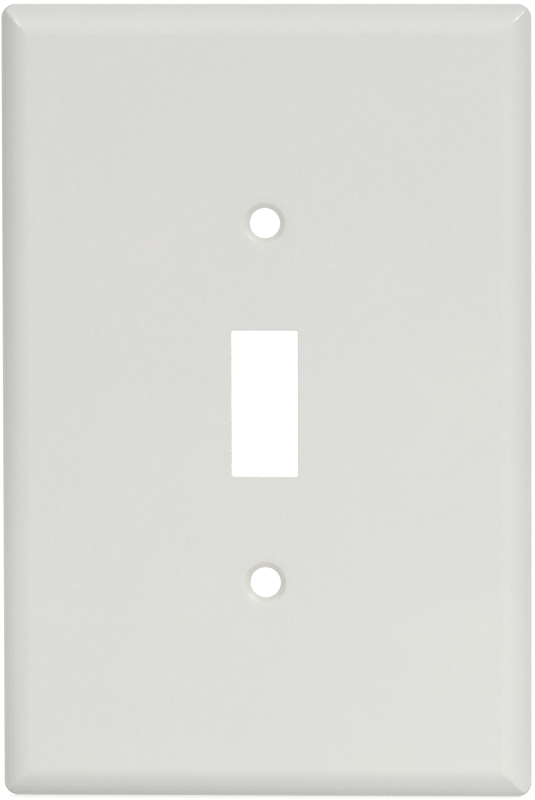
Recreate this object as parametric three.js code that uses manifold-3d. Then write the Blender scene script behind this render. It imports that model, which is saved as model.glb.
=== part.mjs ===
// Oversized one-gang wall plate for a toggle switch: a single thermoset moulding, without its two screws.
// Millimetres. The part stands upright: +Z is up, the wall is the plane y = 0 and the face looks along -Y.
// It is modelled lying on the wall, face up: x across, y up the plate, z away from the wall.

import * as THREE from 'three';
import { mergeVertices } from 'three/addons/utils/BufferGeometryUtils.js';
import Module from 'manifold-3d';

const wasm = await Module();
wasm.setup();

// Outline and section
const PLATE_WIDTH = 88.9; // 3 1/2 in
const PLATE_HEIGHT = 133.35; // 5 1/4 in
const PLATE_DEPTH = 6.35; // 1/4 in, from the wall to the face
const SKIN = 2.1; // thickness behind the face
const RIM_WIDTH = 2.3; // flat edge that seats on the wall
const FLANK_LEAN = THREE.MathUtils.degToRad(20); // lean of the rim's flank from square
const SHOULDER = { radius: 11.5, lean: THREE.MathUtils.degToRad(32) }; // slow bend above the flank
const ROLL = { radius: 3.8, lean: Math.PI / 2 }; // from the shoulder to the face
const OUTER_CORNER = { wall: 2.4, ridge: 0.4 }; // corner radius, closing to a ridge at the top of the flank
const RECESS_CORNER = { wall: 1.3, skin: 0.8 };

// Openings
const SLOT = { width: 11.1, height: 24.5, corner: 0.3 };
const SCREW_SPACING = 60.325; // 2 3/8 in, the tapped holes of the switch's yoke
const SCREW_HOLE_RADIUS = 2.55;
const COUNTERSINK = { radius: 3.5, angle: THREE.MathUtils.degToRad(41) }; // half of the head's 82 degrees

// Back of the moulding. The yoke of the switch lies on the wall, and everything stays off it but the bosses.
const YOKE_THICKNESS = 1.6;
const SLOT_FRAME = { step: 0.5, wall: 1.4, clearance: 0.3 }; // step is its setback from the slot
const BOSS = { radius: 4.7, relief: 3.15 }; // relief is the radius of the wider hole behind the skin
const RIB = { width: 1.3, length: 104, corner: 0.6, offset: 21, clearance: 0.6 }; // beside the yoke
const DRAFT = 0.15; // how much narrower each side of a frame, boss or rib is at its free end

// Facets
const CORNER_STEPS = 8; // three.js doubles this on an arc
const SHOULDER_STEPS = 3;
const ROLL_STEPS = 12;
const ROUND_STEPS = 64;
const OVERCUT = 1; // how far a cutter or a root runs past the surface that it meets

const recessDepth = PLATE_DEPTH - SKIN;
const shoulderHeight = SHOULDER.radius * (Math.sin(SHOULDER.lean) - Math.sin(FLANK_LEAN));
const rollHeight = ROLL.radius * (1 - Math.sin(SHOULDER.lean));
const flankHeight = PLATE_DEPTH - shoulderHeight - rollHeight;
const flankRun = flankHeight * Math.tan(FLANK_LEAN);

// Closed outline of a rectangle with rounded corners, centred on the origin.
function roundedRectangle(width, height, radius) {
  const x = width / 2 - radius;
  const y = height / 2 - radius;
  const shape = new THREE.Shape();
  shape.absarc(x, y, radius, 0, Math.PI / 2);
  shape.absarc(-x, y, radius, Math.PI / 2, Math.PI);
  shape.absarc(-x, -y, radius, Math.PI, 1.5 * Math.PI);
  shape.absarc(x, -y, radius, 1.5 * Math.PI, 2 * Math.PI);
  return shape.getPoints(CORNER_STEPS);
}

// The plate's outline moved inwards.
function plateOutline(inset, radius) {
  return roundedRectangle(PLATE_WIDTH - 2 * inset, PLATE_HEIGHT - 2 * inset, radius);
}

// The toggle slot's outline moved outwards.
function slotOutline(offset) {
  return roundedRectangle(SLOT.width + 2 * offset, SLOT.height + 2 * offset, SLOT.corner + offset);
}

// A rib's outline moved inwards.
function ribOutline(inset) {
  return roundedRectangle(RIB.width - 2 * inset, RIB.length - 2 * inset, RIB.corner - inset);
}

// Solid through a stack of outlines with equal point counts; each layer is { outline, z }, lowest first.
function loft(layers) {
  const count = layers[0].outline.length;
  const positions = layers.flatMap(({ outline, z }) => outline.flatMap((point) => [point.x, point.y, z]));
  const faces = [];
  for (let layer = 0; layer < layers.length - 1; layer++) {
    for (let i = 0; i < count; i++) {
      const a = layer * count + i;
      const b = layer * count + ((i + 1) % count);
      faces.push(a, b, b + count, a, b + count, a + count);
    }
  }
  const top = (layers.length - 1) * count;
  for (const [a, b, c] of THREE.ShapeUtils.triangulateShape(layers[0].outline, [])) {
    faces.push(a, c, b, top + a, top + b, top + c);
  }
  const geometry = new THREE.BufferGeometry();
  geometry.setAttribute('position', new THREE.Float32BufferAttribute(positions, 3));
  geometry.setIndex(faces);
  return solidOf(geometry);
}

// Solid of revolution about z, from [radius, z] pairs that start and end on the axis, lowest first.
function turned(profile) {
  const points = profile.map(([radius, z]) => new THREE.Vector2(radius, z));
  return solidOf(new THREE.LatheGeometry(points, ROUND_STEPS).rotateX(Math.PI / 2));
}

// three.js geometry as a manifold-3d solid.
function solidOf(geometry) {
  geometry.deleteAttribute('normal');
  geometry.deleteAttribute('uv');
  const merged = mergeVertices(geometry);
  const vertProperties = merged.attributes.position.array;
  const triVerts = new Uint32Array(merged.index.array);
  return new wasm.Manifold(new wasm.Mesh({ numProp: 3, vertProperties, triVerts }));
}

// manifold-3d solid as a three.js geometry.
function geometryOf(solid) {
  const { vertProperties, triVerts } = solid.getMesh();
  const geometry = new THREE.BufferGeometry();
  geometry.setAttribute('position', new THREE.BufferAttribute(vertProperties, 3));
  geometry.setIndex(new THREE.BufferAttribute(triVerts, 1));
  geometry.computeVertexNormals();
  return geometry;
}

// Points of an arc that leaves start at one lean and ends at the lean of the arc; start isn't repeated.
function bend(start, lean, arc, steps) {
  const points = [];
  for (let step = 1; step <= steps; step++) {
    const reached = THREE.MathUtils.lerp(lean, arc.lean, step / steps);
    points.push({
      inset: start.inset + arc.radius * (Math.cos(lean) - Math.cos(reached)),
      z: start.z + arc.radius * (Math.sin(reached) - Math.sin(lean)),
    });
  }
  return points;
}

// The plate's outside: leaning flanks, a rolled edge, and corners that close to a ridge.
function outerBody() {
  const flank = [{ inset: 0, z: 0 }, { inset: flankRun, z: flankHeight }];
  const shoulder = bend(flank[1], FLANK_LEAN, SHOULDER, SHOULDER_STEPS);
  const roll = bend(shoulder[SHOULDER_STEPS - 1], SHOULDER.lean, ROLL, ROLL_STEPS);
  return loft(
    [...flank, ...shoulder, ...roll].map(({ inset, z }) => {
      const progress = Math.min(1, inset / flankRun);
      const radius = THREE.MathUtils.lerp(OUTER_CORNER.wall, OUTER_CORNER.ridge, progress);
      return { outline: plateOutline(inset, radius), z };
    }),
  );
}

// Cutter for the hollow behind the face. Its sides lean with the flanks, so the rim keeps one thickness.
function recessCutter() {
  const lean = Math.tan(FLANK_LEAN);
  return loft([
    { outline: plateOutline(RIM_WIDTH - OVERCUT * lean, RECESS_CORNER.wall), z: -OVERCUT },
    { outline: plateOutline(RIM_WIDTH + recessDepth * lean, RECESS_CORNER.skin), z: recessDepth },
  ]);
}

// Stiffening rib, from its free end near the wall to its root in the skin.
function longRib() {
  return loft([
    { outline: ribOutline(DRAFT), z: RIB.clearance },
    { outline: ribOutline(0), z: recessDepth + OVERCUT },
  ]);
}

// Block behind the slot, which the slot's cutter opens into a frame.
function slotFrame() {
  const reach = SLOT_FRAME.step + SLOT_FRAME.wall;
  return loft([
    { outline: slotOutline(reach - DRAFT), z: YOKE_THICKNESS + SLOT_FRAME.clearance },
    { outline: slotOutline(reach), z: recessDepth + OVERCUT },
  ]);
}

// Post behind a screw hole, which rests on the yoke.
function screwBoss() {
  return turned([
    [0, YOKE_THICKNESS],
    [BOSS.radius - DRAFT, YOKE_THICKNESS],
    [BOSS.radius, recessDepth + OVERCUT],
    [0, recessDepth + OVERCUT],
  ]);
}

// Cutter for the toggle slot, right through the plate and wider behind the skin.
function slotCutter() {
  return loft([
    { outline: slotOutline(SLOT_FRAME.step), z: -OVERCUT },
    { outline: slotOutline(SLOT_FRAME.step), z: recessDepth },
    { outline: slotOutline(0), z: recessDepth },
    { outline: slotOutline(0), z: PLATE_DEPTH + OVERCUT },
  ]);
}

// Cutter for a countersunk screw hole, right through the plate and wider behind the skin.
function screwHoleCutter() {
  const slope = Math.tan(COUNTERSINK.angle);
  return turned([
    [0, -OVERCUT],
    [BOSS.relief, -OVERCUT],
    [BOSS.relief, recessDepth],
    [SCREW_HOLE_RADIUS, recessDepth],
    [SCREW_HOLE_RADIUS, PLATE_DEPTH - (COUNTERSINK.radius - SCREW_HOLE_RADIUS) / slope],
    [COUNTERSINK.radius + OVERCUT * slope, PLATE_DEPTH + OVERCUT],
    [0, PLATE_DEPTH + OVERCUT],
  ]);
}

// The whole moulding, face up.
function wallPlate() {
  let plate = outerBody().subtract(recessCutter()).add(slotFrame());
  for (const side of [-1, 1]) {
    plate = plate.add(longRib().translate([side * RIB.offset, 0, 0]));
    plate = plate.add(screwBoss().translate([0, (side * SCREW_SPACING) / 2, 0]));
    plate = plate.subtract(screwHoleCutter().translate([0, (side * SCREW_SPACING) / 2, 0]));
  }
  return geometryOf(plate.subtract(slotCutter()));
}

const thermoset = new THREE.MeshStandardMaterial({ color: 0xe8e8e2, roughness: 0.25, metalness: 0 });

const plate = new THREE.Mesh(wallPlate(), thermoset);
plate.name = 'wall_plate';
plate.rotation.x = Math.PI / 2;

const part = new THREE.Group();
part.add(plate);

export default part;
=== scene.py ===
"""Looks of an oversized wall plate for a toggle switch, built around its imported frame. Metres, +Z up.

The plate stands as on a wall: the wall is the plane y = 0 and the face looks along -Y.
A section of the plate is a list of corners (offset, out, radius). offset is the distance from the outline
that the section is swept along, out is the distance from the wall, and radius rounds the corner.
"""

import cmath
import math

import bmesh
import bpy
from mathutils import Matrix, Quaternion, Vector


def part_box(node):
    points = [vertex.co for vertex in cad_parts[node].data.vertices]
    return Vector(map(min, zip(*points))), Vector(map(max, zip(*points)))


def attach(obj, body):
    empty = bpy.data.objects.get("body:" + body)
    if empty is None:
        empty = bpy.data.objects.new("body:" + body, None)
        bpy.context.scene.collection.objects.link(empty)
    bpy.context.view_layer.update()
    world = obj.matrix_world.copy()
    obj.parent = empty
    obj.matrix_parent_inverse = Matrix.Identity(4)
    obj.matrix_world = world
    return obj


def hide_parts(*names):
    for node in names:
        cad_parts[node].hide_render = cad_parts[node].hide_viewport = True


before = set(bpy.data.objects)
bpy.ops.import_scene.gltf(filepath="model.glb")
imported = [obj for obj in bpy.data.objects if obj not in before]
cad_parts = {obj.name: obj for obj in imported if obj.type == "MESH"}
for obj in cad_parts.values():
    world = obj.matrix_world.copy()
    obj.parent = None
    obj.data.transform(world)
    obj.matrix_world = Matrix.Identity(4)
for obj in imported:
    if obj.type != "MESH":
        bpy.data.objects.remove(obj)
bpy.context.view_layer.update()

MM = 0.001

# The moulding
PLATE_LOW, PLATE_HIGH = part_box("wall_plate")
WIDTH = PLATE_HIGH.x - PLATE_LOW.x
HEIGHT = PLATE_HIGH.z - PLATE_LOW.z
DEPTH = PLATE_HIGH.y - PLATE_LOW.y
SKIN_BACK = DEPTH - 2.1 * MM
RIM_WIDTH = 2.3 * MM
FLANK_SLOPE = math.tan(math.radians(20))  # run inwards for each unit away from the wall
SHOULDER_SLOPE = math.tan(math.radians(32))
SHOULDER_START = 3.5 * MM  # from the wall to the corner of flank and shoulder, before it is rounded
SHOULDER_BEND = 11.5 * MM
EDGE_ROLL = 3.8 * MM
WALL_CORNER = 2.4 * MM
RIDGE_CORNER = 0.4 * MM
RIDGE_START = 0.7  # share of the way up to the shoulder at which the corner has closed to a ridge
RECESS_CORNER = 0.8 * MM

# Openings
SLOT_WIDTH = 11.1 * MM
SLOT_HEIGHT = 24.5 * MM
SLOT_CORNER = 0.3 * MM
SLOT_LIP = 0.2 * MM
SCREW_HEIGHT = 60.325 / 2 * MM
SCREW_HOLE = 2.55 * MM
COUNTERSINK = 3.5 * MM
COUNTERSINK_ANGLE = math.radians(41)  # half of the screw head's 82 degrees
COUNTERSINK_EDGE = 0.12 * MM
DISH = 4.3 * MM
DISH_DEPTH = 0.1 * MM
DISH_LIP = 3.0 * MM

# Back of the moulding
YOKE = 1.6 * MM
FRAME_STEP = 0.5 * MM
FRAME_WALL = 1.4 * MM
FRAME_END = YOKE + 0.3 * MM
BOSS = 4.7 * MM
BOSS_RELIEF = 3.15 * MM
RIB_WIDTH = 1.3 * MM
RIB_LENGTH = 104 * MM
RIB_CORNER = 0.6 * MM
RIB_PLACE = 21 * MM
RIB_END = 0.6 * MM
DRAFT = 0.15 * MM
ROOT_FILLET = 0.35 * MM
RECESS_FILLET = 0.7 * MM
EDGE_BREAK = 0.15 * MM
PIN_MARK = 2.5 * MM
PIN_MARK_DEPTH = 0.1 * MM
PIN_MARK_EDGE = PIN_MARK_DEPTH / 3
PIN_MARK_COLUMNS = (-31 * MM, 31 * MM)
PIN_MARK_ROWS = (-50 * MM, 0.0, 50 * MM)

# Facets
ARC_GAP = 0.002 * MM  # how far a facet may stand off its arc
CORNER_STEPS = 20
ROUND_STEPS = 128
MARGIN = 0.1 * MM  # flat strip round a feature, which keeps the big flats shaded as flats
SHARP_ANGLE = math.radians(35)
LARGE_FACE_LEAD = 100  # percent: how far large faces lead the shading of the small ones beside them

# Finishes, by material index
GLOSS = 0
SATIN = 1

# Moulding compound: its colours, and the sizes of what varies in it
RESIN_DARK = (0.802, 0.801, 0.774, 1)
RESIN_LIGHT = (0.826, 0.820, 0.788, 1)
BLOTCH = (0.800, 0.800, 0.770, 1)
FILLER_DARK = (0.775, 0.771, 0.743, 1)
FILLER_LIGHT = (0.799, 0.791, 0.754, 1)
# cream is a painted shade tint, standing in for the yellowish shade in the countersinks; the satin finish
# takes a share of it all over
PAINTED_SHADE_CREAM = (0.78, 0.77, 0.68, 1)
CLOUD_SIZE = 22 * MM
BLOTCH_SIZE = 2.5 * MM
FLECK_SIZE = 0.5 * MM
WAVE_SIZE = 3 * MM
WAVE_HEIGHT = 0.004 * MM
ROUGHNESS_PATCH = 12 * MM
ROUGHNESS_SPREAD = 0.03
REFRACTION = 1.54
NOISE_LOW = 0.3  # the part of Blender's noise that is stretched to the full range
NOISE_HIGH = 0.7

# Camera: a long lens a little to the right of the plate and above it
VIEW_AZIMUTH = math.radians(3.2)
VIEW_ELEVATION = math.radians(4.4)
VIEW_ROLL = math.radians(-0.13)
VIEW_HEIGHT = HEIGHT * 1.0075
VIEW_CENTRE = Vector((0.1 * MM, 0.0, 0.12 * MM))
LENS = 500
SENSOR = 36

# Studio
STUDIO_RADIUS = 4.0
STUDIO_STEPS = 96
PAPER_CENTRE = (-0.01, 0.04, PLATE_LOW.z)  # the middle of the paper that takes light and shade
PAPER_START = 0.05
PAPER_END = 0.4
PAPER_LIT = (0.8, 0.8, 0.8, 1)
PAPER_UNLIT = (0, 0, 0, 1)
GLOW_NEAR = (0.4, 0.4, 0.4, 1)
GLOW_FAR = (1.04, 1.04, 1.04, 1)
SKY_LOW = 0.283
SKY_HIGH = 0.895
SKY_BRIGHTEST = Vector((-0.01, -0.76, 0.65))
WHITE = (1.0, 1.0, 1.0)
WARM = (1.0, 0.985, 0.955)
COOL = (0.86, 0.92, 1.0)


def rounded(corners):
    """Points of a section as complex numbers offset + out * 1j, with an arc at each inner corner."""
    points = [complex(*corners[0][:2])]
    for before, here, after in zip(corners, corners[1:], corners[2:]):
        corner, radius = complex(*here[:2]), here[2]
        arrive = corner - complex(*before[:2])
        arrive /= abs(arrive)
        turn = cmath.phase((complex(*after[:2]) - corner) / arrive)
        start = corner - arrive * radius * math.tan(abs(turn) / 2)
        centre = start + arrive * 1j * math.copysign(radius, turn)
        steps = math.ceil(abs(turn) / (2 * math.acos(1 - ARC_GAP / radius)))
        for step in range(steps + 1):
            points.append(centre + (start - centre) * cmath.exp(1j * turn * step / steps))
    points.append(complex(*corners[-1][:2]))
    return points


def rounded_rectangle(width, height, radius, x=0.0):
    """Outline of a rectangle with rounded corners, centred on (x, 0)."""
    outline = []
    for quarter in range(4):
        side_x = 1 if quarter in (0, 3) else -1
        side_z = 1 if quarter in (0, 1) else -1
        centre_x = x + side_x * (width / 2 - radius)
        centre_z = side_z * (height / 2 - radius)
        for step in range(CORNER_STEPS + 1):
            angle = (quarter + step / CORNER_STEPS) * math.pi / 2
            outline.append((centre_x + radius * math.cos(angle), centre_z + radius * math.sin(angle)))
    return outline


def circle(radius, x, z):
    """Outline of a circle centred on (x, z)."""
    angles = [2 * math.pi * step / ROUND_STEPS for step in range(ROUND_STEPS)]
    return [(x + radius * math.cos(angle), z + radius * math.sin(angle)) for angle in angles]


def plate_outline(inset, corner_at_edge, corner_inside, reach):
    """The plate's outline moved inwards, with a corner radius that changes over reach."""
    share = min(1, inset / reach)
    radius = corner_at_edge + (corner_inside - corner_at_edge) * share
    return rounded_rectangle(WIDTH - 2 * inset, HEIGHT - 2 * inset, radius)


def slot_outline(offset):
    """The toggle slot's outline moved outwards."""
    return rounded_rectangle(SLOT_WIDTH + 2 * offset, SLOT_HEIGHT + 2 * offset, SLOT_CORNER + offset)


def rib_outline(inset, x):
    """The outline of a rib centred on (x, 0), moved inwards."""
    return rounded_rectangle(RIB_WIDTH - 2 * inset, RIB_LENGTH - 2 * inset, RIB_CORNER - inset, x)


class Surface:
    """A closed surface made ring by ring. A ring is a list of vertices round an outline."""

    def __init__(self):
        self.mesh = bmesh.new()

    def ring(self, outline, out):
        return [self.mesh.verts.new((x, -out, z)) for x, z in outline]

    def band(self, first, second, finish):
        """Faces between two rings of equal count."""
        for i in range(len(first)):
            j = (i + 1) % len(first)
            face = self.mesh.faces.new((first[i], first[j], second[j], second[i]))
            face.material_index = finish

    def sweep(self, corners, outline_at, finish, start=None):
        """Sweeps a section round its outlines, from the ring start if given. Returns its end rings."""
        points = rounded(corners)
        first = start or self.ring(outline_at(points[0].real), points[0].imag)
        last = first
        for point in points[1:]:
            ring = self.ring(outline_at(point.real), point.imag)
            self.band(last, ring, finish)
            last = ring
        return first, last

    def flat(self, borders, finish):
        """Fills the flat that the rings border."""
        edges = []
        for border in borders:
            for i in range(len(border)):
                edges.append(self.mesh.edges.get((border[i - 1], border[i])))
        made = bmesh.ops.triangle_fill(self.mesh, use_beauty=True, edges=edges)
        for item in made["geom"]:
            if isinstance(item, bmesh.types.BMFace):
                item.material_index = finish

    def to_object(self, name, finishes):
        bmesh.ops.recalc_face_normals(self.mesh, faces=self.mesh.faces)
        mesh = bpy.data.meshes.new(name)
        self.mesh.to_mesh(mesh)
        self.mesh.free()
        for finish in finishes:
            mesh.materials.append(finish)
        mesh.shade_smooth()
        mesh.set_sharp_from_angle(angle=SHARP_ANGLE)
        made = bpy.data.objects.new(name, mesh)
        bpy.context.scene.collection.objects.link(made)
        weights = made.modifiers.new("even_flats", "WEIGHTED_NORMAL")
        weights.weight = LARGE_FACE_LEAD
        weights.keep_sharp = True
        return made


def add_rim(surface):
    """The outside and the hollow's wall. Returns the rings round the face and the back of the skin."""
    shoulder_inset = SHOULDER_START * FLANK_SLOPE
    face_inset = shoulder_inset + (DEPTH - SHOULDER_START) * SHOULDER_SLOPE
    ridge_inset = shoulder_inset * RIDGE_START
    seat, face = surface.sweep(
        [
            (0, 0, 0),
            (shoulder_inset, SHOULDER_START, SHOULDER_BEND),
            (face_inset, DEPTH, EDGE_ROLL),
            (face_inset + EDGE_ROLL, DEPTH, 0),
        ],
        lambda inset: plate_outline(inset, WALL_CORNER, RIDGE_CORNER, ridge_inset),
        GLOSS,
    )
    skin_inset = RIM_WIDTH + SKIN_BACK * FLANK_SLOPE
    _, skin = surface.sweep(
        [
            (0, 0, 0),
            (RIM_WIDTH, 0, EDGE_BREAK),
            (skin_inset, SKIN_BACK, RECESS_FILLET),
            (skin_inset + RECESS_FILLET, SKIN_BACK, 0),
        ],
        lambda inset: plate_outline(inset, WALL_CORNER, RECESS_CORNER, skin_inset),
        SATIN,
        seat,
    )
    return face, skin


def add_slot(surface):
    """The toggle slot and the frame behind it."""
    front, ledge = surface.sweep(
        [(SLOT_LIP + MARGIN, DEPTH, 0), (0, DEPTH, SLOT_LIP), (0, SKIN_BACK, 0)],
        slot_outline,
        GLOSS,
    )
    reach = FRAME_STEP + FRAME_WALL
    _, back = surface.sweep(
        [
            (0, SKIN_BACK, 0),
            (FRAME_STEP, SKIN_BACK, EDGE_BREAK),
            (FRAME_STEP, FRAME_END, EDGE_BREAK),
            (reach - DRAFT, FRAME_END, EDGE_BREAK),
            (reach, SKIN_BACK, ROOT_FILLET),
            (reach + ROOT_FILLET + MARGIN, SKIN_BACK, 0),
        ],
        slot_outline,
        SATIN,
        ledge,
    )
    return front, back


def add_screw_hole(surface, z):
    """A countersunk screw hole in a shallow dish, and the boss behind it."""
    slope = math.tan(COUNTERSINK_ANGLE)
    cone_start = DEPTH - DISH_DEPTH
    cone_end = cone_start - (COUNTERSINK - SCREW_HOLE) / slope
    dish_slope = DISH_DEPTH / (DISH - COUNTERSINK)
    before_edge = (COUNTERSINK + MARGIN, cone_start + MARGIN * dish_slope, 0)
    front, edge = surface.sweep(
        [
            (DISH + 2 * MARGIN, DEPTH, 0),
            (DISH, DEPTH, DISH_LIP),
            before_edge,
        ],
        lambda radius: circle(radius, 0, z),
        GLOSS,
    )
    _, back = surface.sweep(
        [
            before_edge,
            (COUNTERSINK, cone_start, COUNTERSINK_EDGE),
            (SCREW_HOLE, cone_end, EDGE_BREAK),
            (SCREW_HOLE, SKIN_BACK, EDGE_BREAK),
            (BOSS_RELIEF, SKIN_BACK, EDGE_BREAK),
            (BOSS_RELIEF, YOKE, EDGE_BREAK),
            (BOSS - DRAFT, YOKE, EDGE_BREAK),
            (BOSS, SKIN_BACK, ROOT_FILLET),
            (BOSS + ROOT_FILLET + MARGIN, SKIN_BACK, 0),
        ],
        lambda radius: circle(radius, 0, z),
        SATIN,
        edge,
    )
    return front, back


def add_rib(surface, x):
    """A long stiffening rib beside the yoke."""
    root, end = surface.sweep(
        [
            (-ROOT_FILLET - MARGIN, SKIN_BACK, 0),
            (0, SKIN_BACK, ROOT_FILLET),
            (DRAFT, RIB_END, EDGE_BREAK),
            (DRAFT + EDGE_BREAK + MARGIN, RIB_END, 0),
        ],
        lambda inset: rib_outline(inset, x),
        SATIN,
    )
    surface.flat([end], SATIN)
    return root


def add_pin_mark(surface, x, z):
    """The shallow round dent that an ejector pin leaves."""
    border, floor = surface.sweep(
        [
            (PIN_MARK + MARGIN, SKIN_BACK, 0),
            (PIN_MARK, SKIN_BACK, PIN_MARK_EDGE),
            (PIN_MARK, SKIN_BACK + PIN_MARK_DEPTH, PIN_MARK_EDGE),
            (PIN_MARK - MARGIN, SKIN_BACK + PIN_MARK_DEPTH, 0),
        ],
        lambda radius: circle(radius, x, z),
        SATIN,
    )
    surface.flat([floor], SATIN)
    return border


def make_plate(finishes):
    """The whole moulding as one closed mesh."""
    surface = Surface()
    face, skin = add_rim(surface)
    slot_front, slot_back = add_slot(surface)
    fronts = [face, slot_front]
    backs = [skin, slot_back]
    for side in (-1, 1):
        front, back = add_screw_hole(surface, side * SCREW_HEIGHT)
        fronts.append(front)
        backs.append(back)
        backs.append(add_rib(surface, side * RIB_PLACE))
    for x in PIN_MARK_COLUMNS:
        for z in PIN_MARK_ROWS:
            backs.append(add_pin_mark(surface, x, z))
    surface.flat(fronts, GLOSS)
    surface.flat(backs, SATIN)
    return surface.to_object("moulded_plate", finishes)


class Nodes:
    """The node tree of a material or a world, filled by short calls."""

    def __init__(self, owner):
        owner.use_nodes = True
        self.tree = owner.node_tree
        self.tree.nodes.clear()

    def add(self, kind, settings=None, **inputs):
        """Adds a node. Each input is a value, or an output of another node to link."""
        node = self.tree.nodes.new(kind)
        for name, value in (settings or {}).items():
            setattr(node, name, value)
        for name, value in inputs.items():
            self.put(node.inputs[name.replace("_", " ")], value)
        return node

    def put(self, socket, value):
        if isinstance(value, bpy.types.NodeSocket):
            self.tree.links.new(value, socket)
        else:
            socket.default_value = value

    def noise(self, place, size, low, high, detail=2):
        """Noise with lumps about size across, from low to high."""
        noise = self.add("ShaderNodeTexNoise", Vector=place, Scale=1 / size, Detail=detail)
        spread = self.add(
            "ShaderNodeMapRange",
            Value=noise.outputs["Fac"],
            From_Min=NOISE_LOW,
            From_Max=NOISE_HIGH,
            To_Min=low,
            To_Max=high,
        )
        return spread.outputs["Result"]

    def blend(self, share, first, second):
        """A colour between two colours."""
        mix = self.tree.nodes.new("ShaderNodeMix")
        mix.data_type = "RGBA"
        for name, value in (("Factor", share), ("A", first), ("B", second)):
            socket = next(s for s in mix.inputs if s.name == name and s.enabled)
            self.put(socket, value)
        return next(s for s in mix.outputs if s.enabled)

    def bump(self, height, distance, under=None):
        """A surface raised by up to distance, on top of another bump."""
        bump = self.add("ShaderNodeBump", Height=height, Distance=distance)
        if under is not None:
            self.put(bump.inputs["Normal"], under)
        return bump.outputs["Normal"]


def thermoset(name, roughness, grain, grain_height, painted_shade_share):
    """Off-white moulding compound: a faint cloud of tone, uneven gloss, and a grain in its skin.

    The share of cream in its colour is a painted shade tint: it stands in for the yellowish shade in the
    countersinks of the screw holes, and it tints all of the finish that gets it.
    """
    material = bpy.data.materials.new(name)
    nodes = Nodes(material)
    place = nodes.add("ShaderNodeTexCoord").outputs["Object"]
    cloud = nodes.noise(place, CLOUD_SIZE, 0, 1, detail=3)
    blotch = nodes.noise(place, BLOTCH_SIZE, 0, 1, detail=4)
    fleck = nodes.noise(place, FLECK_SIZE, 0, 1)
    resin = nodes.blend(cloud, RESIN_DARK, RESIN_LIGHT)
    tone = nodes.blend(blotch, resin, BLOTCH)
    filler = nodes.blend(cloud, FILLER_DARK, FILLER_LIGHT)
    wave = nodes.bump(nodes.noise(place, WAVE_SIZE, 0, 1), WAVE_HEIGHT)
    skin = nodes.bump(nodes.noise(place, grain, 0, 1), grain_height, under=wave)
    least, most = roughness - ROUGHNESS_SPREAD, roughness + ROUGHNESS_SPREAD
    # the colour is blended towards cream by the share of painted shade tint
    shader = nodes.add(
        "ShaderNodeBsdfPrincipled",
        Base_Color=nodes.blend(painted_shade_share, nodes.blend(fleck, tone, filler), PAINTED_SHADE_CREAM),
        Roughness=nodes.noise(place, ROUGHNESS_PATCH, least, most, detail=4),
        IOR=REFRACTION,
        Normal=skin,
    )
    nodes.add("ShaderNodeOutputMaterial", Surface=shader.outputs["BSDF"])
    return material


def make_camera():
    """The photograph's view: far away through a long lens, so that upright lines stay upright."""
    data = bpy.data.cameras.new("camera")
    data.lens = LENS
    data.sensor_width = SENSOR
    data.clip_end = 2 * STUDIO_RADIUS
    camera = bpy.data.objects.new("camera", data)
    back = Vector(
        (
            math.sin(VIEW_AZIMUTH) * math.cos(VIEW_ELEVATION),
            -math.cos(VIEW_AZIMUTH) * math.cos(VIEW_ELEVATION),
            math.sin(VIEW_ELEVATION),
        )
    )
    camera.location = VIEW_CENTRE + back * VIEW_HEIGHT * LENS / SENSOR
    upright = (-back).to_track_quat("-Z", "Y")
    camera.rotation_euler = (upright @ Quaternion((0, 0, 1), VIEW_ROLL)).to_euler()
    bpy.context.scene.collection.objects.link(camera)
    bpy.context.scene.camera = camera


def paper():
    """White backdrop paper: it takes a faint shadow round the plate's foot, and elsewhere only glows."""
    material = bpy.data.materials.new("paper")
    nodes = Nodes(material)
    away = nodes.add("ShaderNodeVectorMath", {"operation": "DISTANCE"})
    nodes.put(away.inputs[0], nodes.add("ShaderNodeTexCoord").outputs["Object"])
    nodes.put(away.inputs[1], PAPER_CENTRE)
    share = nodes.add(
        "ShaderNodeMapRange",
        Value=away.outputs["Value"],
        From_Min=PAPER_START,
        From_Max=PAPER_END,
    ).outputs["Result"]
    shader = nodes.add(
        "ShaderNodeBsdfPrincipled",
        Base_Color=nodes.blend(share, PAPER_LIT, PAPER_UNLIT),
        Roughness=1.0,
        Specular_IOR_Level=0.0,
        Emission_Color=nodes.blend(share, GLOW_NEAR, GLOW_FAR),
        Emission_Strength=1.0,
    )
    nodes.add("ShaderNodeOutputMaterial", Surface=shader.outputs["BSDF"])
    return material


def make_studio():
    """A round white room that the plate stands in. It shows, but doesn't light the plate."""
    floor = PLATE_LOW.z
    ceiling = floor + STUDIO_RADIUS
    corners = ((0.0, floor), (STUDIO_RADIUS, floor), (STUDIO_RADIUS, ceiling), (0.0, ceiling))
    shape = bmesh.new()
    verts = [shape.verts.new((radius, 0, z)) for radius, z in corners]
    edges = [shape.edges.new(pair) for pair in zip(verts, verts[1:])]
    bmesh.ops.spin(
        shape,
        geom=verts + edges,
        axis=(0, 0, 1),
        cent=(0, 0, 0),
        angle=2 * math.pi,
        steps=STUDIO_STEPS,
        use_merge=True,
    )
    bmesh.ops.remove_doubles(shape, verts=shape.verts, dist=MM)
    mesh = bpy.data.meshes.new("studio")
    shape.to_mesh(mesh)
    shape.free()
    mesh.materials.append(paper())
    studio = bpy.data.objects.new("studio", mesh)
    bpy.context.scene.collection.objects.link(studio)
    for ray in ("diffuse", "glossy", "transmission", "shadow"):
        setattr(studio, "visible_" + ray, False)


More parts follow.
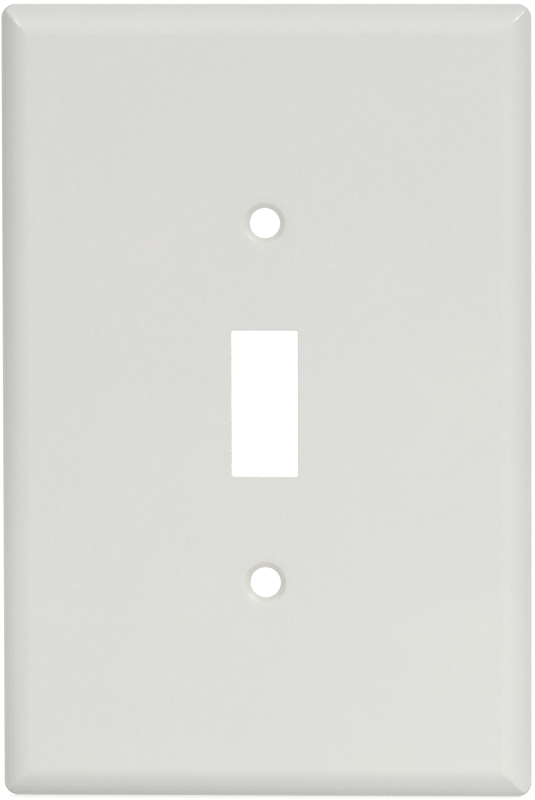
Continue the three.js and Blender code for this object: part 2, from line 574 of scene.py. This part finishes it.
def make_sky():
    """Soft light from all round, brightest in front of the plate and above it."""
    world = bpy.data.worlds.new("sky")
    bpy.context.scene.world = world
    nodes = Nodes(world)
    towards = nodes.add("ShaderNodeTexCoord").outputs["Generated"]
    facing = nodes.add("ShaderNodeVectorMath", {"operation": "DOT_PRODUCT"})
    nodes.put(facing.inputs[0], towards)
    nodes.put(facing.inputs[1], SKY_BRIGHTEST.normalized())
    strength = nodes.add(
        "ShaderNodeMapRange",
        Value=facing.outputs["Value"],
        From_Min=-1.0,
        From_Max=1.0,
        To_Min=SKY_LOW,
        To_Max=SKY_HIGH,
    )
    background = nodes.add("ShaderNodeBackground", Color=(1, 1, 1, 1), Strength=strength.outputs["Result"])
    nodes.add("ShaderNodeOutputWorld", Surface=background.outputs["Background"])


def add_light(name, place, across, along, power, colour=WHITE, diffuse=True, mirrored=True):
    """A soft light that faces the plate's centre, with its side along as near to the Y axis as can be.

    One that isn't diffuse only shows as a reflection, and one that isn't mirrored only lights.
    """
    data = bpy.data.lights.new(name, "AREA")
    data.shape = "RECTANGLE"
    data.size = across
    data.size_y = along
    data.energy = power
    data.color = colour
    light = bpy.data.objects.new(name, data)
    out = Vector(place).normalized()
    lengthwise = (Vector((0, 1, 0)) - out * out.y).normalized()
    crosswise = lengthwise.cross(out)
    light.matrix_world = Matrix((crosswise, lengthwise, out)).transposed().to_4x4()
    light.location = place
    light.visible_camera = False
    light.visible_diffuse = diffuse
    light.visible_glossy = mirrored
    bpy.context.scene.collection.objects.link(light)


def make_lights():
    """A key from the upper right, small lights near the edges and behind, and cards that are mirrored."""
    add_light("key", (1.34, -0.64, 1.63), 0.7, 0.7, 7.1, WARM)
    add_light("fill", (0.111, -0.236, -0.149), 0.1, 0.1, 0.13, WARM, mirrored=False)
    add_light("low_right", (0.2, 0.15, -0.3), 0.1, 0.1, 0.41, WARM, mirrored=False)
    add_light("low_left", (-0.1, 0.005, -0.04), 0.03, 0.03, 0.0058, mirrored=False)
    add_light("back", (0.44, 1.9, 0.48), 0.4, 0.4, 17.0, mirrored=False)
    add_light("strip_left", (-0.5, -0.46, 0.75), 0.2, 0.64, 4.9, COOL, diffuse=False)
    add_light("strip_right", (0.75, 0.14, 0.72), 0.2, 1.02, 5.2, diffuse=False)
    add_light("card_behind", (0.0, 1.0, 0.02), 0.3, 0.3, 0.42, diffuse=False)


bpy.context.scene.view_settings.view_transform = "Standard"

make_camera()
plate = make_plate(
    [
        thermoset("polished_thermoset", 0.16, grain=0.9 * MM, grain_height=0.0008 * MM, painted_shade_share=0.0),
        # the satin finish's share of cream is a painted shade tint for the countersinks of the screw holes
        thermoset("spark_eroded_thermoset", 0.45, grain=0.22 * MM, grain_height=0.004 * MM, painted_shade_share=0.35),
    ]
)
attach(plate, "root")
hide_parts("wall_plate")
make_studio()
make_sky()
make_lights()
